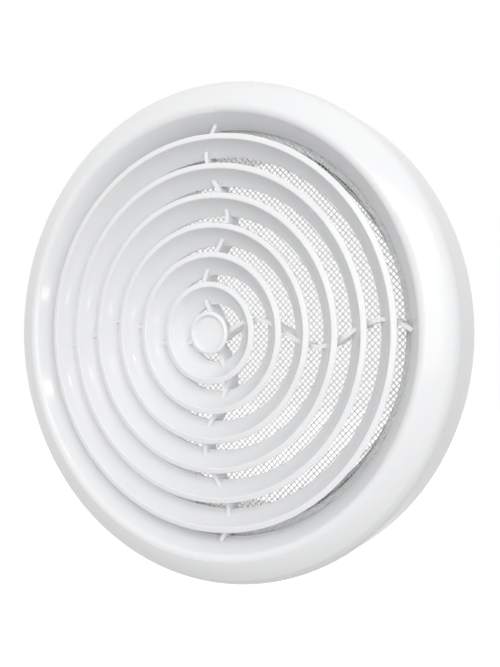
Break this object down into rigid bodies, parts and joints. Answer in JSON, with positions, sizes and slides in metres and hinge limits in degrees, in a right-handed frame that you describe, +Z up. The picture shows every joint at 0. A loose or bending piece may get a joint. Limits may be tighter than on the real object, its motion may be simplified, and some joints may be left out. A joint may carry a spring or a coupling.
{
  "type": "round vent cover",
  "caption": "Round louvred vent cover with concentric ring blades, wavy ribs, an insect screen, a pull-off front and a duct spigot.",
  "frame": {"origin": "centre of the flat back that meets the wall, on the duct's axis", "axes": "+Y along the axis into the duct, +Z up, the front looks towards -Y"},
  "size_m": [0.2, 0.0561, 0.2],
  "materials": {
    "white_plastic": "satin",
    "screen_thread": "matt"
  },
  "bodies": {
    "base": {"mounting_base": "white_plastic"},
    "front": {"front_grille": "white_plastic", "insect_screen": "screen_thread"}
  },
  "joints": [
    {"name": "front_pull", "type": "slide", "parent": "base", "child": "front", "axis": [0, -1, 0], "range_m": [0, 0.03]}
  ]
}
